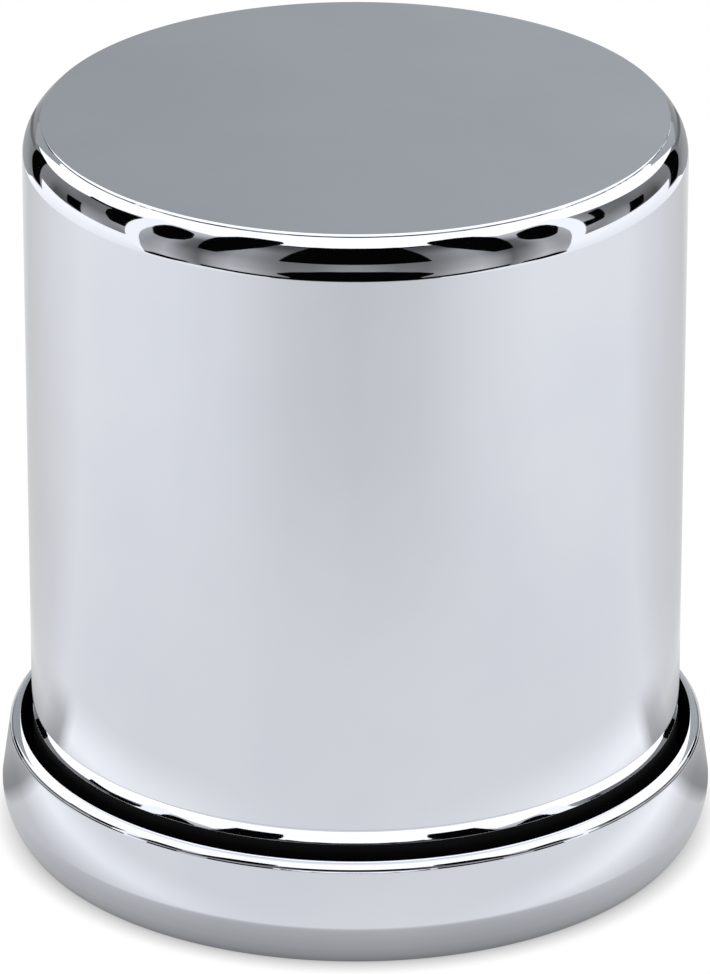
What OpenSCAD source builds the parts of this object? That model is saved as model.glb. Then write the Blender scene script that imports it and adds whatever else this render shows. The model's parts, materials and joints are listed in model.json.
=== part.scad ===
// Push-through wheel center cap: a deep round cup with a closed, flat end, a rolled rim,
// a narrow groove round the foot of its body and a flared flange with a standing lip.
// It stands on its flange with the open mouth down. The origin is the middle of the mouth.

/* [Body] */
// Outer diameter of the straight body, which passes through the wheel's center bore
body_d = 107; // [100:0.5:115]
// Height over everything, from the base of the flange to the flat end
height = 123.5; // [100:0.1:150]
// Radius that rolls the body over towards the flat end
rim_round = 7.9; // [7:0.1:12]
// Height of the roll, from the straight body up to the flat end that cuts it off
rim_drop = 6.4; // [5:0.1:6.5]
// Radius that softens the edge between the flat end and the roll
edge_round = 1.2; // [0.6:0.1:1.5]
// Thickness of the body's wall
wall = 3; // [2.4:0.1:5]
// Thickness of the closed end
end_wall = 3; // [2:0.1:4]

/* [Groove at the foot] */
// Height at which the straight body ends and the groove begins
groove_top = 22.2; // [21.8:0.1:24]
// Depth of the groove, measured in from the body
groove_depth = 1.7; // [1:0.1:1.8]
// Height of the shoulder's edge below the groove
shoulder_top = 19.6; // [19:0.1:20]
// How far the shoulder's edge and the foot below it lie in from the body
shoulder_inset = 0.2; // [0.1:0.1:0.5]
// Radius to which the shoulder's slope is rolled
shoulder_round = 12.9; // [8:0.1:20]
// Slope of the shoulder at its edge, in degrees from flat
shoulder_slope = 50; // [45:1:58]

/* [Flange] */
// Height of the standing lip
lip_top = 17.7; // [15:0.1:18.5]
// Radius that rolls the top of the lip over to the skirt
lip_round = 1.6; // [1:0.1:2]
// Diameter of the skirt at its crease
skirt_d = 117.1; // [116:0.1:122]
// Height of the crease where the skirt turns in to its base
crease_top = 7; // [5:0.1:8]
// Diameter of the base on which the cap stands
base_d = 112; // [111:0.1:114]
// Radius of the turned-in band below the crease
band_round = 10; // [8:0.1:20]
// Width of the ring channel between the foot and the lip
channel_w = 2.1; // [1.7:0.1:2.7]
// Height of the floor of the ring channel
channel_floor = 5; // [4:0.1:8]

/* [Mouth] */
// Chamfer round the inner edge of the open mouth
mouth_chamfer = 0.8; // [0.2:0.1:1]

/* [Hidden] */
$fn = 180;
plated = [0.78, 0.80, 0.84];
// How far a cutting outline reaches past the surface that it opens
spare = 1;
// How far two curves that run into each other overlap, so that they cross in a soft edge
blend = 0.01;

body_r = body_d / 2;
inner_r = body_r - wall;
roll_top = height - rim_drop;
// Centre of the small arc that touches the flat end and runs into the roll below it
edge_reach = rim_round - edge_round + blend;
edge_rise = rim_drop - edge_round;
edge_centre = [
    body_r - rim_round + sqrt(edge_reach * edge_reach - edge_rise * edge_rise),
    height - edge_round
];
foot_r = body_r - shoulder_inset;
lip_r = foot_r + channel_w;
lip_centre = [lip_r, lip_top - lip_round];
crease = [skirt_d / 2, crease_top];
base_edge = [base_d / 2, 0];
skirt_edge = tangent_point(crease, lip_centre, lip_round - blend);
// Foot of the skirt's line, carried on below the crease to the base
skirt_foot = [crease.x + crease.y * (crease.x - skirt_edge.x) / (skirt_edge.y - crease.y), 0];
band_centre = arc_centre(crease, base_edge, band_round);
shoulder_centre = [
    foot_r - shoulder_round * sin(shoulder_slope),
    shoulder_top - shoulder_round * cos(shoulder_slope)
];

// Angle of the line from one point to another
function bearing(from, to) = atan2(to.y - from.y, to.x - from.x);

// Point at which a line from a point below touches the outer side of a circle
function tangent_point(point, centre, radius) =
    let (
        turn = acos(radius / norm(point - centre)),
        angle = bearing(centre, point) + turn
    )
    centre + radius * [cos(angle), sin(angle)];

// Centre of the arc that bulges outwards between an upper and a lower point
function arc_centre(upper, lower, radius) =
    let (
        chord = lower - upper,
        rise = sqrt(radius * radius - chord * chord / 4),
        inward = [chord.y, -chord.x] / norm(chord)
    )
    (upper + lower) / 2 + rise * inward;

// Half outline of a round cup whose rolled corner is cut off by its flat end
module rolled_outline(radius, round_r, round_z, top) {
    square([radius, round_z]);
    square([radius - round_r, top]);
    intersection() {
        translate([radius - round_r, round_z]) circle(r = round_r);
        square([radius, top]);
    }
}

// What is cut off the edge between the flat end and the roll
module edge_cut() {
    out = edge_centre - [body_r - rim_round, roll_top];
    difference() {
        polygon([
            edge_centre,
            edge_centre + [0, edge_round + spare],
            edge_centre + [edge_round + spare, edge_round + spare],
            edge_centre + out * (edge_round + spare) / norm(out)
        ]);
        translate(edge_centre) circle(r = edge_round);
    }
}

// Half outline of the skirt: the rolled lip, the flaring face and the turned-in band
module flange_outline() {
    translate(lip_centre) circle(r = lip_round);
    difference() {
        polygon([
            [inner_r - spare, 0],
            skirt_foot,
            skirt_edge,
            lip_centre,
            [lip_r, lip_top],
            [inner_r - spare, lip_top]
        ]);
        band_cut();
    }
}

// What is cut off the foot of the skirt to leave the rounded band below the crease
module band_cut() {
    difference() {
        translate([inner_r, -spare]) square([skirt_foot.x - inner_r + spare, crease_top + 2 * spare]);
        translate(band_centre) circle(r = band_round);
    }
}

// Half outline of the ring channel between the foot and the lip, up to within the groove
module channel_outline() {
    channel_top = (shoulder_top + groove_top) / 2;
    translate([foot_r, channel_floor]) square([channel_w, channel_top - channel_floor]);
}

// Half outline of the groove, which leaves a rolled, sloping shoulder below it
module groove_outline() {
    groove_foot = shoulder_top - spare / 2;
    difference() {
        translate([body_r - groove_depth, groove_foot])
            square([groove_depth + spare, groove_top - groove_foot]);
        translate(shoulder_centre) circle(r = shoulder_round);
    }
}

// Half outline of the inside, open downwards, with a chamfered mouth
module hollow_outline() {
    rolled_outline(inner_r, rim_round - wall, roll_top, height - end_wall);
    polygon([
        [0, -spare],
        [inner_r + mouth_chamfer + spare, -spare],
        [inner_r, mouth_chamfer],
        [0, mouth_chamfer]
    ]);
}

// Half section of the whole cap
module cap_section() {
    difference() {
        union() {
            rolled_outline(body_r, rim_round, roll_top, height);
            flange_outline();
        }
        edge_cut();
        channel_outline();
        groove_outline();
        hollow_outline();
    }
}

// The cap, one plated moulding
module center_cap() {
    color(plated) rotate_extrude() cap_section();
}

center_cap();
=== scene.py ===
import json
from math import asin, atan2, cos, hypot, pi, radians, sin, sqrt

import bmesh
import bpy
from bpy.props import FloatProperty, FloatVectorProperty, IntProperty, PointerProperty
from bpy.types import NodeSocket, Operator, Panel, PropertyGroup
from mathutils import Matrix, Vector


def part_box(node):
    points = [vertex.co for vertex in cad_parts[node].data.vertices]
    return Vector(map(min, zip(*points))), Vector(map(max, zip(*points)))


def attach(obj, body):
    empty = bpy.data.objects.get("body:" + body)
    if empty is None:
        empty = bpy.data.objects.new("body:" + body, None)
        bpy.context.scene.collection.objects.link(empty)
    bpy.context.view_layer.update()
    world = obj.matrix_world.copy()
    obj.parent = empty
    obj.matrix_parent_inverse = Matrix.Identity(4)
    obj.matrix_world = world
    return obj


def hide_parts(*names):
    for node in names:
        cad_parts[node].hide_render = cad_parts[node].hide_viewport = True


bl_info = {
    "name": "Wheel Center Cap",
    "version": (1, 0, 0),
    "blender": (4, 5, 0),
    "location": "3D View > Sidebar > Center Cap",
    "description": "Lathes a push-through wheel center cap and sets up its studio",
    "category": "Object",
}

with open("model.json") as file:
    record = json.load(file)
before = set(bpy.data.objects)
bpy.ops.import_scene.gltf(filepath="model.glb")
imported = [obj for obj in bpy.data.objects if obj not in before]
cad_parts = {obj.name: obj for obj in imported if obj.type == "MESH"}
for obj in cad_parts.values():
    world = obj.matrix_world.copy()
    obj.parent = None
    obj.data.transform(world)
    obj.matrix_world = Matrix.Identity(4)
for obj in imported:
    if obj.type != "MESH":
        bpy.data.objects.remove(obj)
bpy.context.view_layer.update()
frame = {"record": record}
CAP_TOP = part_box("center_cap")[1].z
MOUNTS = {mount["name"]: mount for mount in frame["record"]["mounts"]}
MM = 0.001
BODY = MOUNTS["wheel_bore_body"]
BODY_RADIUS = BODY["dims"]["r_mm"] * MM
BODY_MIDDLE = BODY["pos_m"][2]
BODY_HALF_LENGTH = BODY["dims"]["length_mm"] * MM / 2
HOLLOW_RADIUS = MOUNTS["hub_end_bore"]["dims"]["r_mm"] * MM

# How far a straight stretch's holding points lie from its ends, which keep its shading even
HOLD = 0.35 * MM
FINE_HOLD = 0.02 * MM
# Numbers of the cap's materials; the last paints shade into the ring channel
BRIGHT, SATIN, PAINTED_SHADE = range(3)
# Point from which the reflected room is measured, in the middle of the flat end
ROOM_CENTRE = Vector((0, 0, CAP_TOP))
# Strength of the white softboxes, where 1 is white
SOFTBOX_GLOW = 1.75


def length(name, description, default):
    """A property that holds a length in metres."""
    return FloatProperty(
        name=name, description=description, default=default, min=0, precision=5,
        subtype="DISTANCE", unit="LENGTH",
    )


def angle(name, description, default):
    """A property that holds an angle."""
    return FloatProperty(
        name=name, description=description, default=default, subtype="ANGLE", unit="ROTATION",
    )


def colour(name, description, default):
    """A property that holds a colour."""
    return FloatVectorProperty(
        name=name, description=description, default=default, min=0, max=1, size=3, subtype="COLOR",
    )


def share(name, description, default):
    """A property that holds a share between nothing and all."""
    return FloatProperty(
        name=name, description=description, default=default, min=0, max=1, subtype="FACTOR",
    )


class CapSizes(PropertyGroup):
    """Sizes of the cap."""

    height: length("Height", "Over everything, from base to closed end", CAP_TOP)
    body_radius: length("Body radius", "Radius of the straight body", BODY_RADIUS)
    body_foot: length("Body foot", "Height at which the body ends", BODY_MIDDLE - BODY_HALF_LENGTH)
    body_head: length("Body head", "Height at which the rim's roll begins", BODY_MIDDLE + BODY_HALF_LENGTH)
    hollow_radius: length("Hollow radius", "Radius of the inside", HOLLOW_RADIUS)
    end_wall: length("End wall", "Thickness of the closed end", 3 * MM)
    rim_round: length("Rim roll", "Radius that rolls the body over to the flat end", 7.9 * MM)
    edge_start: length("End edge start", "Radius at which the flat end begins to ease down", 49.44 * MM)
    edge_ease: length("End edge", "Radius that eases the flat end down to its edge", 18 * MM)
    edge_round: length("End edge roll", "Radius of the edge between the flat end and the roll", 0.1 * MM)
    groove_depth: length("Groove depth", "Depth of the groove below the body", 1.7 * MM)
    shoulder_radius: length("Shoulder radius", "Radius of the shoulder's edge", 53.3 * MM)
    shoulder_top: length("Shoulder", "Height of the shoulder's edge", 19.6 * MM)
    shoulder_round: length("Shoulder roll", "Radius to which the shoulder is rolled", 12.9 * MM)
    shoulder_slope: angle("Shoulder slope", "Slope of the shoulder at its edge", radians(50))
    lip_inner_radius: length("Lip inner radius", "Radius of the lip's inner side", 55.4 * MM)
    channel_floor: length("Channel floor", "Height of the channel's floor", 5 * MM)
    lip_top: length("Lip", "Height of the standing lip", 17.7 * MM)
    lip_round: length("Lip roll", "Radius that rolls the lip over towards the skirt", 2.4 * MM)
    lip_edge: length("Lip edge", "Radius of the lip's outer edge", 0.5 * MM)
    lip_ledge: length("Lip ledge", "Width of the fine ledge below the lip's edge", 0.2 * MM)
    crease_radius: length("Crease radius", "Radius of the skirt at its crease", 58.55 * MM)
    crease_height: length("Crease height", "Height of the skirt's crease", 7 * MM)
    base_radius: length("Base radius", "Radius of the base", 56 * MM)
    band_round: length("Band roll", "Radius of the turned-in band", 10 * MM)
    mouth_chamfer: length("Mouth chamfer", "Chamfer round the mouth", 0.8 * MM)
    soft_edge: length("Soft edge", "Radius that the plating leaves on a sharp edge", 0.05 * MM)
    turn_steps: IntProperty(name="Steps round", description="Steps of a full turn", default=384, min=24)


class CapFinish(PropertyGroup):
    """Colours and gloss of the plating, and the painted shade of the ring channel."""

    chrome: colour("Chrome", "Colour of the bright plating", (0.60, 0.62, 0.665))
    chrome_shade: colour("Chrome shade", "Colour of the plating where it is thinner", (0.57, 0.59, 0.64))
    inside: colour("Inside", "Colour of the satin plating inside", (0.36, 0.37, 0.39))
    # Near-black colour that paints the shade deep in the ring channel
    channel: colour("Channel", "Colour deep in the ring channel", (0.004, 0.004, 0.005))
    gloss: share("Chrome roughness", "Roughness of the bright plating", 0.03)
    satin: share("Inside roughness", "Roughness of the satin plating inside", 0.38)


class StudioSizes(PropertyGroup):
    """The camera, the floor and the reflected room."""

    focal_length: FloatProperty(
        name="Focal length", description="Of a 36 mm wide sensor on the long side", default=296.55,
        subtype="DISTANCE_CAMERA",
    )
    camera_distance: length("Camera distance", "Level distance of the camera from the axis", 1.1941)
    camera_height: length("Camera height", "Height of the camera above the floor", 0.60155)
    camera_pitch: angle("Camera pitch", "How far the camera looks down", radians(24.475))
    camera_shift: FloatVectorProperty(
        name="Camera shift", description="Shift of the picture, as a share of its long side",
        default=(-0.00041, 0.0001), size=2, precision=5,
    )
    floor_radius: length("Floor radius", "Radius of the white sheet", 0.345)
    room_radius: length("Room radius", "Distance of the reflected room", 7)
    shadow_reach: length("Shadow reach", "How far the contact shadow reaches on the floor", 0.006)
    gloom_radius: length("Gloom radius", "How far out the cap shades the mirrored sheet", 0.09)


# Outline and lathe


def start_at(mesh, radius, height):
    """Starts an outline with one point."""
    return bmesh.ops.create_vert(mesh, co=(radius, 0, height))["vert"][0]


def line_to(mesh, point, radius, height, hold=0):
    """Draws a straight stretch, with a holding point near each end, and returns its end."""
    start = point.co.copy()
    end = Vector((radius, 0, height))
    near = hold / (end - start).length
    for place in [near, 1 - near, 1] if hold else [1]:
        point = bmesh.ops.extrude_vert_indiv(mesh, verts=[point])["verts"][0]
        bmesh.ops.translate(mesh, verts=[point], vec=start.lerp(end, place) - point.co)
    return point


def arc_about(mesh, point, centre, turn, steps):
    """Draws an arc by turning the outline's last point about a centre, and returns its end."""
    drawn = bmesh.ops.spin(
        mesh, geom=[point], cent=(centre[0], 0, centre[1]), axis=(0, 1, 0),
        angle=turn, steps=steps, use_merge=False, use_duplicate=False,
    )
    return next(item for item in drawn["geom_last"] if isinstance(item, bmesh.types.BMVert))


def tilt_from(centre, point):
    """Angle from straight up of the line from a centre to a point of the outline."""
    return atan2(point[0] - centre[0], point[1] - centre[1])


def roll_over(mesh, point, radius, slope_before, slope_after, steps):
    """Rolls the outline on from one slope to a steeper one, and returns its end."""
    across = Vector((sin(slope_before), cos(slope_before))) * radius
    centre = (point.co.x - across.x, point.co.z - across.y)
    return arc_about(mesh, point, centre, slope_after - slope_before, steps)


def slide_down(mesh, point, slope, width):
    """Draws a straight stretch of a width that slopes down outwards, and returns its end."""
    return line_to(mesh, point, point.co.x + cos(slope) * width, point.co.z - sin(slope) * width)


def meet_circle(point, slope, centre, radius):
    """Where a line that slopes down outwards from a point above a circle first meets the circle."""
    way = Vector((cos(slope), -sin(slope)))
    start = Vector((point.co.x, point.co.z)) - Vector(centre)
    along = start.dot(way)
    reach = along + sqrt(along ** 2 - start.length_squared + radius ** 2)
    return start + Vector(centre) - way * reach


def arc_centre(upper, lower, radius):
    """Centre of the arc that bulges outwards between an upper and a lower point."""
    chord = Vector(lower) - Vector(upper)
    rise = sqrt(radius ** 2 - chord.length_squared / 4)
    return (Vector(upper) + Vector(lower)) / 2 + Vector((chord.y, -chord.x)).normalized() * rise


def rim_centre(sizes):
    """Centre of the rim's roll, which the roll inside shares."""
    return (sizes.body_radius - sizes.rim_round, sizes.body_head)


def draw_body(mesh, sizes):
    """Draws the flat end, its fine edge, the rim's roll and the straight body."""
    eased_slope = radians(3)
    cone_slope = radians(66)
    roll = rim_centre(sizes)
    point = start_at(mesh, 0, sizes.height)
    point = line_to(mesh, point, sizes.edge_start, sizes.height, HOLD)
    point = roll_over(mesh, point, sizes.edge_ease, 0, eased_slope, steps=4)
    point = roll_over(mesh, point, sizes.edge_round, eased_slope, cone_slope, steps=8)
    cone_foot = meet_circle(point, cone_slope, roll, sizes.rim_round)
    point = line_to(mesh, point, *cone_foot, FINE_HOLD)
    point = arc_about(mesh, point, roll, pi / 2 - tilt_from(roll, cone_foot), steps=24)
    return line_to(mesh, point, sizes.body_radius, sizes.body_foot, HOLD)


def draw_shoulder(mesh, point, sizes):
    """Draws the groove below the body and the rolled shoulder at its foot."""
    slope = sizes.shoulder_slope
    shoulder_end = Vector((sizes.shoulder_radius, sizes.shoulder_top))
    centre = shoulder_end - Vector((sin(slope), cos(slope))) * sizes.shoulder_round
    neck_radius = sizes.body_radius - sizes.groove_depth
    start_slope = asin((neck_radius - centre.x) / sizes.shoulder_round)
    neck_foot = centre.y + cos(start_slope) * sizes.shoulder_round
    point = line_to(mesh, point, neck_radius, sizes.body_foot, HOLD)
    point = line_to(mesh, point, neck_radius, neck_foot, HOLD / 2)
    return arc_about(mesh, point, centre, slope - start_slope, steps=10)


def draw_flange(mesh, point, sizes):
    """Draws the ring channel, the standing lip, the skirt and the turned-in band."""
    head_slope = radians(8)
    rolled_slope = radians(52)
    edge_slope = radians(78)
    ledge_slope = radians(46)
    crease = (sizes.crease_radius, sizes.crease_height)
    base = (sizes.base_radius, 0)
    point = line_to(mesh, point, sizes.shoulder_radius, sizes.channel_floor, HOLD)
    point = line_to(mesh, point, sizes.lip_inner_radius, sizes.channel_floor, HOLD)
    point = line_to(mesh, point, sizes.lip_inner_radius, sizes.lip_top, HOLD)
    point = roll_over(mesh, point, sizes.lip_round, head_slope, rolled_slope, steps=14)
    point = roll_over(mesh, point, sizes.lip_edge, rolled_slope, edge_slope, steps=6)
    point = slide_down(mesh, point, ledge_slope, sizes.lip_ledge)
    point = line_to(mesh, point, *crease, HOLD)
    band = arc_centre(crease, base, sizes.band_round)
    return arc_about(mesh, point, band, tilt_from(band, base) - tilt_from(band, crease), steps=10)


def draw_hollow(mesh, point, sizes):
    """Draws the base, the chamfered mouth and the inside up to the middle of its ceiling."""
    roll = rim_centre(sizes)
    ceiling = sizes.height - sizes.end_wall
    inner_round = sizes.rim_round - (sizes.body_radius - sizes.hollow_radius)
    inner_turn = asin((ceiling - roll[1]) / inner_round)
    point = line_to(mesh, point, sizes.hollow_radius + sizes.mouth_chamfer, 0, HOLD)
    point = line_to(mesh, point, sizes.hollow_radius, sizes.mouth_chamfer, HOLD)
    point = line_to(mesh, point, sizes.hollow_radius, roll[1], HOLD)
    point = arc_about(mesh, point, roll, -inner_turn, steps=8)
    line_to(mesh, point, 0, ceiling, HOLD)


def lathe(mesh, steps):
    """Turns the outline once round the axis and closes its poles."""
    bmesh.ops.spin(
        mesh, geom=mesh.verts[:] + mesh.edges[:], cent=(0, 0, 0), axis=(0, 0, 1),
        angle=2 * pi, steps=steps, use_merge=True, use_duplicate=False,
    )
    bmesh.ops.remove_doubles(mesh, verts=mesh.verts[:], dist=0.001 * MM)
    bmesh.ops.recalc_face_normals(mesh, faces=mesh.faces[:])


def soften_edges(mesh, radius, sharp):
    """Rounds every edge at which two faces meet at more than an angle."""
    edges = [edge for edge in mesh.edges if edge.calc_face_angle(0) > sharp]
    bmesh.ops.bevel(
        mesh, geom=edges, offset=radius, offset_type="OFFSET", affect="EDGES",
        segments=4, profile=0.5, material=-1, clamp_overlap=True,
    )


def plating_of(face, sizes):
    """The number of the material that a face of the cap has."""
    centre = face.calc_center_median()
    radius = hypot(centre.x, centre.y)
    outward = face.normal.x * centre.x + face.normal.y * centre.y
    mid_wall = (sizes.body_radius + sizes.hollow_radius) / 2
    mid_end = sizes.height - sizes.end_wall / 2
    faces_outwards = outward > 0.01 * radius
    if radius < mid_wall and centre.z < mid_end and not faces_outwards:
        return SATIN
    # Faces deep in the ring channel get the near-black painted shade
    margin = 0.06 * MM
    over_channel = sizes.shoulder_radius - margin < radius < sizes.lip_inner_radius + margin
    return PAINTED_SHADE if over_channel and centre.z < sizes.shoulder_top - 3 * margin else BRIGHT


def finish_mesh(mesh, name, materials):
    """Makes an object in the scene of a bmesh."""
    data = bpy.data.meshes.new(name)
    mesh.to_mesh(data)
    mesh.free()
    for material in materials:
        data.materials.append(material)
    piece = bpy.data.objects.new(name, data)
    bpy.context.scene.collection.objects.link(piece)
    return piece


# Materials


def new_material(name):
    """A node material without its first nodes."""
    material = bpy.data.materials.new(name)
    material.use_nodes = True
    material.node_tree.nodes.clear()
    return material, material.node_tree


def add(tree, kind, **settings):
    """Adds a node. A setting in lower case is the node's own, and any other is an input socket's."""
    node = tree.nodes.new(kind)
    for name, value in settings.items():
        socket = node.inputs.get(name.replace("_", " "))
        if socket and not name.islower():
            socket.default_value = value
        else:
            setattr(node, name, value)
    return node


def feed(tree, socket, value):
    """Links an input to another node's output, or sets it to a plain value."""
    if isinstance(value, NodeSocket):
        tree.links.new(value, socket)
    else:
        socket.default_value = value


def end_in(tree, surface):
    """Ends a material in a surface."""
    output = add(tree, "ShaderNodeOutputMaterial")
    tree.links.new(surface, output.inputs["Surface"])


def switch(tree, factor, first, second):
    """One shader where a factor is 0, and another where it is 1."""
    mix = add(tree, "ShaderNodeMixShader")
    for socket, value in zip(mix.inputs, (factor, first, second)):
        tree.links.new(value, socket)
    return mix.outputs["Shader"]


def compute(tree, operation, *values):
    """A maths node over outputs or plain numbers."""
    node = add(tree, "ShaderNodeMath", operation=operation)
    for socket, value in zip(node.inputs, values):
        feed(tree, socket, value)
    return node.outputs["Value"]


def rescale(tree, value, old_low, old_high, low, high, kind="LINEAR"):
    """A value taken from one range to another, and held within it."""
    node = add(
        tree, "ShaderNodeMapRange", interpolation_type=kind,
        From_Min=old_low, From_Max=old_high, To_Min=low, To_Max=high,
    )
    tree.links.new(value, node.inputs["Value"])
    return node.outputs["Result"]


def blend(tree, factor, first, second, kind="MIX"):
    """A mix of two colours or values."""
    node = add(tree, "ShaderNodeMix", data_type="RGBA", blend_type=kind)
    sockets = {item.name: item for item in node.inputs if item.enabled}
    for name, value in (("Factor", factor), ("A", first), ("B", second)):
        feed(tree, sockets[name], value)
    return next(item for item in node.outputs if item.enabled)


def own_place(tree):
    """Where a point lies, in metres from the middle of the base."""
    return add(tree, "ShaderNodeTexCoord").outputs["Object"]


def blotches(tree, scale, detail):
    """Soft blotches over the piece, from its own coordinates."""
    noise = add(tree, "ShaderNodeTexNoise", Scale=scale, Detail=detail)
    tree.links.new(own_place(tree), noise.inputs["Vector"])
    return noise.outputs["Fac"]


def relief(tree, height, strength, distance):
    """The surface's direction under a fine relief."""
    bump = add(tree, "ShaderNodeBump", Strength=strength, Distance=distance)
    tree.links.new(height, bump.inputs["Height"])
    return bump.outputs["Normal"]


def ramp(tree, value, stops):
    """A ramp of greys or colours over a value, from pairs of a place and a colour."""
    node = add(tree, "ShaderNodeValToRGB")
    elements = node.color_ramp.elements
    for element in elements[1:]:
        elements.remove(element)
    for number, (place, shade) in enumerate(stops):
        element = elements.new(place) if number else elements[0]
        element.position = place
        element.color = (*shade, 1) if isinstance(shade, tuple) else (shade, shade, shade, 1)
    tree.links.new(value, node.inputs["Fac"])
    return node.outputs["Color"]


def bare_metal(tree, tint, roughness, direction):
    """Ends a material in metal with a colour, a roughness and a relief."""
    shader = add(tree, "ShaderNodeBsdfPrincipled", Metallic=1.0)
    tree.links.new(tint, shader.inputs["Base Color"])
    tree.links.new(roughness, shader.inputs["Roughness"])
    tree.links.new(direction, shader.inputs["Normal"])
    end_in(tree, shader.outputs["BSDF"])


def bright_chrome(finish):
    """Mirror chrome with the faint waves and haze of a plated moulding."""
    material, tree = new_material("bright_chrome")
    shades = [(0.35, tuple(finish.chrome_shade)), (0.65, tuple(finish.chrome))]
    tint = ramp(tree, blotches(tree, scale=30, detail=3), shades)
    cloud = blotches(tree, scale=60, detail=4)
    haze = rescale(tree, cloud, 0, 1, finish.gloss * 0.8, finish.gloss * 1.3)
    waves = relief(tree, blotches(tree, scale=45, detail=1), strength=0.25, distance=0.01 * MM)
    bare_metal(tree, tint, haze, waves)
    return material


def satin_plating(finish):
    """The thin, dull plating inside, with the mould's grain."""
    material, tree = new_material("satin_plating")
    dark = tuple(level * 0.8 for level in finish.inside)
    shades = [(0.3, dark), (0.7, tuple(finish.inside))]
    tint = ramp(tree, blotches(tree, scale=40, detail=4), shades)
    cloud = blotches(tree, scale=90, detail=5)
    haze = rescale(tree, cloud, 0, 1, finish.satin * 0.8, finish.satin * 1.2)
    grain = relief(tree, blotches(tree, scale=1500, detail=3), strength=0.3, distance=0.05 * MM)
    bare_metal(tree, tint, haze, grain)
    return material


def channel_plating(finish):
    """Painted shade deep in the ring channel: a near-black, dull surface that stands in for the darkness
    there.
    """
    material, tree = new_material("channel_plating")
    shader = add(tree, "ShaderNodeBsdfPrincipled", Roughness=0.6, Specular_IOR_Level=0.1)
    dark = tuple(level * 0.5 for level in finish.channel)
    shades = [(0.3, dark), (0.7, tuple(finish.channel))]
    tint = ramp(tree, blotches(tree, scale=50, detail=3), shades)
    tree.links.new(tint, shader.inputs["Base Color"])
    end_in(tree, shader.outputs["BSDF"])
    return material


# Glowing surfaces of the studio


def emit(material, tint, strength):
    """Ends a material in a glow, at a strength where 1 is white."""
    tree = material.node_tree
    light = add(tree, "ShaderNodeEmission")
    feed(tree, light.inputs["Color"], tint)
    feed(tree, light.inputs["Strength"], strength)
    end_in(tree, light.outputs["Emission"])
    material.cycles.emission_sampling = "NONE"
    return material


def glow(name, strength):
    """A material that glows evenly in white."""
    return emit(new_material(name)[0], (1, 1, 1, 1), strength)


def parts_of(tree, place):
    """The three parts of a place."""
    split = add(tree, "ShaderNodeSeparateXYZ")
    tree.links.new(place, split.inputs["Vector"])
    return split.outputs


def turn_share(tree, parts):
    """How far round a place lies, to either side: 0 at the camera's side and 1 behind the cap."""
    side = compute(tree, "ABSOLUTE", parts["X"])
    front = compute(tree, "MULTIPLY", parts["Y"], -1)
    return compute(tree, "DIVIDE", compute(tree, "ARCTAN2", side, front), pi)


def ring_ramp(tree, share_round, levels):
    """Greys round from the camera's side, from pairs of degrees and a level."""
    return ramp(tree, share_round, [(degrees / 180, level) for degrees, level in levels])


def upward_glow(name, distance, levels):
    """A glow that changes upwards, from pairs of an elevation in degrees and a level."""
    material, tree = new_material(name)
    brightest = 2
    rise = compute(tree, "SUBTRACT", parts_of(tree, own_place(tree))["Z"], CAP_TOP)
    share_up = rescale(tree, compute(tree, "DIVIDE", rise, distance), -1, 1, 0, 1)
    stops = [(0.5 + sin(radians(degrees)) / 2, level / brightest) for degrees, level in levels]
    return emit(material, ramp(tree, share_up, stops), brightest)


def room_glow(distance):
    """The room's own brightness, brighter and darker in turn round its low, middle and high parts."""
    material, tree = new_material("room_glow")
    parts = parts_of(tree, own_place(tree))
    share_round = turn_share(tree, parts)
    low = ring_ramp(tree, share_round, [
        (0, 0.42), (6, 0.40), (14, 0.28), (24, 0.27), (30, 0.40), (36, 0.56), (42, 0.66), (48, 0.48),
        (53.5, 0.20), (60, 0.41), (66, 0.66), (72, 0.50), (77, 0.5), (84, 0.3), (90, 0.38), (97, 0.52),
        (103, 0.52), (108, 0.25), (114, 0.13), (121, 0.12), (126, 0.27), (134, 0.31), (144, 0.26),
        (150, 0.34), (180, 0.4),
    ])
    middle = ring_ramp(tree, share_round, [
        (0, 0.4), (14, 0.24), (24, 0.22), (30, 0.31), (37, 0.45), (42, 0.48), (48, 0.25), (54, 0.12),
        (60, 0.20), (66, 0.56), (72, 0.46), (78, 0.65), (84, 0.6), (92, 0.34), (97, 0.25), (108, 0.22),
        (116, 0.28), (135, 0.35), (180, 0.5),
    ])
    high = ring_ramp(tree, share_round, [
        (0, 0.1), (36, 0.12), (50, 0.3), (60, 0.8), (78, 0.9), (90, 0.7), (180, 0.5),
    ])
    above_low = rescale(tree, parts["Z"], 0.05 * distance, 0.32 * distance, 0, 1)
    above_middle = rescale(tree, parts["Z"], 0.58 * distance, 0.76 * distance, 0, 1)
    below_horizon = rescale(tree, parts["Z"], -0.2 * distance, 0, 1.22, 1)
    lower = blend(tree, above_low, low, middle)
    return emit(material, blend(tree, above_middle, lower, high), below_horizon)


def screen_glow(distance):
    """The grey screen behind the cap, which the flat end mirrors, a little brighter to the right."""
    material, tree = new_material("back_screen")
    parts = parts_of(tree, own_place(tree))
    across = 0.042 * distance
    slant = rescale(tree, parts["X"], -across, across, 0.92, 1.06)
    low = sin(radians(21)) * distance + CAP_TOP
    high = sin(radians(22.8)) * distance + CAP_TOP
    share_up = rescale(tree, parts["Z"], low, high, 0, 1)
    upward = ramp(tree, share_up, [(0, 0.53), (0.35, 0.505), (0.7, 0.53), (1, 0.59)])
    return emit(material, blend(tree, 1.0, upward, (0.96, 1, 1.02, 1), "MULTIPLY"), slant)


# Studio


def sky_point(azimuth, elevation, distance):
    """A point of the room, from its direction in degrees. Azimuth 0 is the camera's side."""
    a, e = radians(azimuth), radians(elevation)
    return ROOM_CENTRE + distance * Vector((sin(a) * cos(e), -cos(a) * cos(e), sin(e)))


def stage_card(mesh, name, material):
    """A card that is seen only in the chrome."""
    card = finish_mesh(mesh, name, [material])
    card.visible_camera = False
    card.visible_diffuse = False
    card.visible_transmission = False
    card.visible_volume_scatter = False
    card.visible_shadow = False


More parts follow.
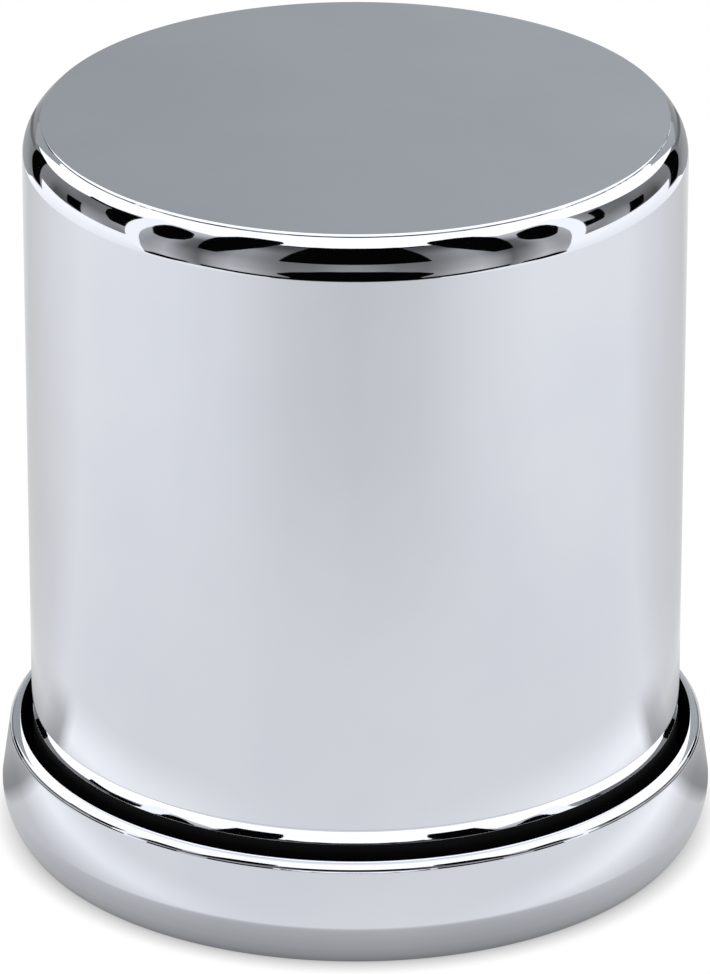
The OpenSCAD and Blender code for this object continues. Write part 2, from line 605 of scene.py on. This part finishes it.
def spread(corners):
    """Adds points along the long sides of a card, so that they follow the room's round."""
    longest = 8
    points = []
    for (turn, rise), (next_turn, next_rise) in zip(corners, corners[1:] + corners[:1]):
        parts = max(1, round(abs(next_turn - turn) / longest))
        for step in range(parts):
            points.append((
                turn + (next_turn - turn) * step / parts,
                rise + (next_rise - rise) * step / parts,
            ))
    return points


def flag(name, corners, distance, material, rounding=0):
    """A card in the room, from its corners and their rounding in degrees of azimuth and elevation."""
    mesh = bmesh.new()
    mesh.faces.new([mesh.verts.new(sky_point(a, e, distance)) for a, e in spread(corners)])
    if rounding:
        bmesh.ops.bevel(
            mesh, geom=mesh.verts[:], offset=radians(rounding) * distance, offset_type="OFFSET",
            affect="VERTICES", segments=6, profile=0.5, material=-1, clamp_overlap=True,
        )
    stage_card(mesh, name, material)


def flag_pair(name, corners, distance, material, rounding=0):
    """A card on the right of the room and its mirror image on the left."""
    flag(name + "_right", corners, distance, material, rounding)
    mirrored = [(-a, e) for a, e in reversed(corners)]
    flag(name + "_left", mirrored, distance, material, rounding)


def sky_ball(radius):
    """A ball about the middle of the base, whose inside shows the room."""
    mesh = bmesh.new()
    bmesh.ops.create_uvsphere(mesh, u_segments=96, v_segments=48, radius=radius)
    return mesh


def hang_overhead_softbox(axis, reach, distance, material):
    """A round softbox over the cap, out to an angle from its axis."""
    mesh = sky_ball(distance)
    bmesh.ops.translate(mesh, verts=mesh.verts[:], vec=ROOM_CENTRE)
    bmesh.ops.bisect_plane(
        mesh, geom=mesh.verts[:] + mesh.edges[:] + mesh.faces[:],
        plane_co=ROOM_CENTRE + axis * distance * cos(reach), plane_no=axis, clear_inner=True,
    )
    stage_card(mesh, "overhead_softbox", material)


def hang_softboxes(far):
    """The white cards of the room. A nearer card covers those behind it."""
    white = glow("softbox", SOFTBOX_GLOW)
    strip_white = glow("white_screen", 1.5)
    overhead = Vector((0, 0.53, 0.85)).normalized()
    hang_overhead_softbox(overhead, radians(58), far * 0.99, white)
    flag("front_softbox", [(-36, 52), (36, 52), (36, 68), (-36, 68)], far * 0.98, white)
    flag_pair("side_softbox", [
        (34, 53), (56, 53), (61, 46.5), (80, 45), (90, 42), (90, 52), (56, 68), (34, 68),
    ], far * 0.97, white)
    flag_pair("side_strip", [
        (75, -22), (82, -22), (82, 1), (84, 13), (90, 38), (90, 46), (81, 46), (78, 16), (76, 0),
    ], far * 0.96, strip_white)


def hang_floor_and_screen(far):
    """The lit studio floor beyond the sheet and the grey screen behind the cap."""
    floor_white = upward_glow("lit_floor", far, [(-26, 1.25), (-16, 1.35), (-5, 1.5)])
    flag_pair("side_floor", [
        (75, -26), (131, -26), (131, -4), (116, -3), (104, -1.5), (82, 0.5), (76, 0.5),
    ], far * 0.96, floor_white)
    flag_pair("rear_floor", [
        (131, -26), (165, -26), (165, -21), (150, -18.5), (142, -14.5), (131, -12.5),
    ], far * 0.95, floor_white)
    flag_pair("front_floor", [
        (24, -26), (76, -26), (76, -18), (46, -18), (30, -20),
    ], far * 0.95, floor_white)
    flag("back_screen", [
        (147, 3), (213, 3), (226, 22), (206, 24.2), (154, 24.2), (134, 22),
    ], far * 0.92, screen_glow(far))


def hang_front_gaps(near, black):
    """The dark windows and gaps of the room from the camera's side round to the sides."""
    flag("upper_window", [
        (-26, 16.5), (26, 16.5), (23.5, 36), (20, 50), (20, 53.3), (-20, 53.3), (-20, 50), (-23.5, 36),
    ], near, black, rounding=2)
    flag("window_brow", [
        (-31, 50.5), (31, 50.5), (31, 52.4), (0, 53.3), (-31, 52.4),
    ], near, black, rounding=0.6)
    flag("lower_window", [
        (-20, -30), (20, -30), (22, -17), (26, -12), (26, -10), (21, -5), (10, 0), (0, 1), (-10, 0),
        (-21, -5), (-26, -10), (-26, -12), (-22, -17),
    ], near, black, rounding=1.5)
    flag_pair("side_window", [
        (48, 16.5), (55, 16.5), (57, 32), (59, 45), (57, 56), (50, 59.5), (37, 59.5), (33, 55), (36, 42),
    ], near, black, rounding=2)
    flag_pair("oval_window", [
        (62.5, 25), (67.5, 18.5), (73, 19), (79.5, 31.5), (81, 42), (75, 44.5), (66, 41.5), (61.8, 32.5),
    ], near, black, rounding=2.4)
    flag_pair("sheet_gap", [
        (20, -21.5), (40, -19.5), (53, -17.5), (53, -14), (44, -15), (30, -17.3), (20, -18.5),
    ], near, black, rounding=0.8)
    flag_pair("outer_sheet_gap", [
        (57, -17), (64, -18.6), (75, -18.6), (76, -16.5), (71, -14), (58, -14.6),
    ], near, black, rounding=1)


def hang_back_gaps(near, black):
    """The dark windows and gaps of the room from the sides round to behind the cap."""
    flag("left_back_window", [
        (-84, 12.5), (-89, 37), (-99.5, 31.5), (-99, 25), (-96, 18), (-91, 12),
    ], near, black, rounding=1.2)
    flag("curtain_rail", [(-98, 29.5), (-98, 32), (-111, 27), (-110, 24.5)], near, black, rounding=0.6)
    flag("right_back_window", [
        (84, 12.5), (93, 12.5), (96, 19), (100, 30), (94, 30.5), (91, 19), (86, 21.5),
    ], near, black, rounding=1.2)
    flag_pair("low_window", [
        (103.5, -1), (112, -0.5), (114.5, 9), (106.5, 12),
    ], near, black, rounding=0.8)
    flag_pair("column", [
        (132, -12), (140, -13), (143.8, -4), (143.8, 3), (140, 9), (134.5, 11.5),
    ], near, black, rounding=1)
    flag_pair("horizon", [
        (146, 3), (157, -4), (168, -14), (168, -16), (156, -7), (145, 1),
    ], near, glow("horizon", 0.2))


def hang_room(studio):
    """The room that the chrome reflects, with its dark gaps hung in front of the rest."""
    far = studio.room_radius
    near = 0.7 * far
    black = glow("dark_gap", 0.002)
    stage_card(sky_ball(far * 1.05), "room", room_glow(far))
    hang_softboxes(far)
    hang_floor_and_screen(far)
    hang_front_gaps(near, black)
    hang_back_gaps(near, black)


def mirrored_sheet(tree, studio):
    """How bright the sheet looks in the chrome, round from the camera's side and outwards."""
    place = own_place(tree)
    share_round = turn_share(tree, parts_of(tree, place))
    close = ring_ramp(tree, share_round, [
        (0, 0.71), (25, 0.74), (50, 0.85), (80, 0.93), (90, 0.92), (96, 0.4), (100, 0.42), (108, 0.56),
        (180, 0.56),
    ])
    near = ring_ramp(tree, share_round, [
        (0, 0.71), (60, 0.71), (98, 0.74), (112, 0.61), (125, 0.54), (136, 0.50), (155, 0.47),
    ])
    far = ring_ramp(tree, share_round, [
        (0, 0.58), (20, 0.62), (40, 0.74), (60, 0.8), (100, 0.8), (120, 0.69), (145, 0.5), (180, 0.64),
    ])
    reach = add(tree, "ShaderNodeVectorMath", operation="LENGTH")
    tree.links.new(place, reach.inputs[0])
    radius = reach.outputs["Value"]
    close_end = 0.089
    near_start = 0.11
    far_start = 0.07
    past_close = rescale(tree, radius, close_end, near_start, 0, 1, "SMOOTHSTEP")
    outward = rescale(tree, radius, far_start, studio.floor_radius, 0, 1, "SMOOTHSTEP")
    lit = blend(tree, outward, blend(tree, past_close, close, near), far)
    gloom = ramp(tree, compute(tree, "DIVIDE", radius, studio.gloom_radius), [
        (0.59, 0.9), (0.61, 0.22), (0.62, 0.22), (0.635, 0.38), (0.66, 0.47), (0.72, 0.55), (0.83, 0.62),
        (0.9, 0.78), (1, 1),
    ])
    light = add(tree, "ShaderNodeEmission", Strength=1.5)
    tree.links.new(blend(tree, 1.0, lit, gloom, "MULTIPLY"), light.inputs["Color"])
    return light.outputs["Emission"]


def seen_sheet(tree, studio):
    """How the sheet looks to the camera: white, with a contact shadow round the cap."""
    shadow = add(tree, "ShaderNodeAmbientOcclusion", samples=16, Distance=studio.shadow_reach)
    light = add(tree, "ShaderNodeEmission", Strength=1.0)
    tree.links.new(rescale(tree, shadow.outputs["AO"], 0, 0.73, 0.3, 1), light.inputs["Color"])
    return light.outputs["Emission"]


def white_sheet(studio):
    """The white sheet: pale card that lets the view from below through."""
    material, tree = new_material("white_sheet")
    path = add(tree, "ShaderNodeLightPath").outputs
    facing = add(tree, "ShaderNodeNewGeometry").outputs
    card = add(tree, "ShaderNodeBsdfDiffuse", Color=(0.9, 0.9, 0.9, 1)).outputs["BSDF"]
    clear = add(tree, "ShaderNodeBsdfTransparent").outputs["BSDF"]
    surface = switch(tree, path["Is Camera Ray"], card, seen_sheet(tree, studio))
    surface = switch(tree, path["Is Glossy Ray"], surface, mirrored_sheet(tree, studio))
    end_in(tree, switch(tree, facing["Backfacing"], surface, clear))
    material.cycles.emission_sampling = "NONE"
    return material


def lay_floor(studio):
    """The white sheet that the cap stands on."""
    mesh = bmesh.new()
    bmesh.ops.create_circle(mesh, cap_ends=True, segments=128, radius=studio.floor_radius)
    finish_mesh(mesh, "floor_sheet", [white_sheet(studio)])


def tuck_groove_card(sizes):
    """A thin white ring tucked up under the body's lower edge, which brightens the shoulder."""
    drop = 0.04 * MM
    clearance = 0.05 * MM
    height = sizes.body_foot - drop
    mesh = bmesh.new()
    point = start_at(mesh, sizes.body_radius - sizes.groove_depth + clearance, height)
    line_to(mesh, point, sizes.body_radius - clearance, height)
    lathe(mesh, sizes.turn_steps)
    stage_card(mesh, "groove_card", glow("groove_white", SOFTBOX_GLOW))


def light_world():
    """White to the camera and in the metal, and plain soft light for the rest."""
    world = bpy.data.worlds.new("plain_studio")
    world.use_nodes = True
    tree = world.node_tree
    tree.nodes.clear()
    path = add(tree, "ShaderNodeLightPath").outputs
    seen = compute(tree, "MAXIMUM", path["Is Camera Ray"], path["Is Glossy Ray"])
    seen = compute(tree, "MAXIMUM", seen, path["Is Transmission Ray"])
    white = add(tree, "ShaderNodeBackground", Color=(1, 1, 1, 1), Strength=1.0)
    soft = add(tree, "ShaderNodeBackground", Color=(0.97, 0.98, 1, 1), Strength=0.8)
    output = add(tree, "ShaderNodeOutputWorld")
    lit = switch(tree, seen, soft.outputs["Background"], white.outputs["Background"])
    tree.links.new(lit, output.inputs["Surface"])
    bpy.context.scene.world = world


def place_camera(studio):
    """The camera at the photo's viewing angle."""
    data = bpy.data.cameras.new("photo_camera")
    data.lens = studio.focal_length
    data.sensor_width = 36
    data.shift_x = studio.camera_shift[0]
    data.shift_y = studio.camera_shift[1]
    camera = bpy.data.objects.new("photo_camera", data)
    camera.location = (0, -studio.camera_distance, studio.camera_height)
    camera.rotation_euler = (pi / 2 - studio.camera_pitch, 0, 0)
    bpy.context.scene.collection.objects.link(camera)
    bpy.context.scene.camera = camera


# Add-on


class LatheCap(Operator):
    """Lathe the plated cap from its half section"""

    bl_idname = "center_cap.lathe"
    bl_label = "Lathe cap"

    def execute(self, context):
        sizes, finish = context.scene.cap_sizes, context.scene.cap_finish
        sharp = radians(25)
        mesh = bmesh.new()
        point = draw_body(mesh, sizes)
        point = draw_shoulder(mesh, point, sizes)
        point = draw_flange(mesh, point, sizes)
        draw_hollow(mesh, point, sizes)
        lathe(mesh, sizes.turn_steps)
        soften_edges(mesh, sizes.soft_edge, sharp)
        for face in mesh.faces:
            face.smooth = True
            face.material_index = plating_of(face, sizes)
        materials = [bright_chrome(finish), satin_plating(finish), channel_plating(finish)]
        cap = finish_mesh(mesh, "plated_cap", materials)
        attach(cap, "root")
        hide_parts("center_cap")
        return {"FINISHED"}


class SetStage(Operator):
    """Set the floor, the reflected room, the light and the camera"""

    bl_idname = "center_cap.set_stage"
    bl_label = "Set stage"

    def execute(self, context):
        studio = context.scene.cap_studio
        lay_floor(studio)
        hang_room(studio)
        tuck_groove_card(context.scene.cap_sizes)
        light_world()
        place_camera(studio)
        context.scene.view_settings.view_transform = "Standard"
        return {"FINISHED"}


class CapPanel(Panel):
    """Lists the cap's sizes, finish and studio"""

    bl_idname = "VIEW3D_PT_center_cap"
    bl_label = "Center Cap"
    bl_space_type = "VIEW_3D"
    bl_region_type = "UI"
    bl_category = "Center Cap"

    def draw(self, context):
        layout = self.layout
        for group in (context.scene.cap_sizes, context.scene.cap_finish, context.scene.cap_studio):
            box = layout.box()
            for name in group.bl_rna.properties.keys():
                if name not in ("rna_type", "name"):
                    box.prop(group, name)
        layout.operator(LatheCap.bl_idname)
        layout.operator(SetStage.bl_idname)


CLASSES = (CapSizes, CapFinish, StudioSizes, LatheCap, SetStage, CapPanel)


def register():
    for item in CLASSES:
        bpy.utils.register_class(item)
    bpy.types.Scene.cap_sizes = PointerProperty(type=CapSizes)
    bpy.types.Scene.cap_finish = PointerProperty(type=CapFinish)
    bpy.types.Scene.cap_studio = PointerProperty(type=StudioSizes)


def unregister():
    del bpy.types.Scene.cap_studio
    del bpy.types.Scene.cap_finish
    del bpy.types.Scene.cap_sizes
    for item in reversed(CLASSES):
        bpy.utils.unregister_class(item)


def main():
    register()
    bpy.ops.center_cap.set_stage()
    bpy.ops.center_cap.lathe()


if __name__ == "__main__":
    main()
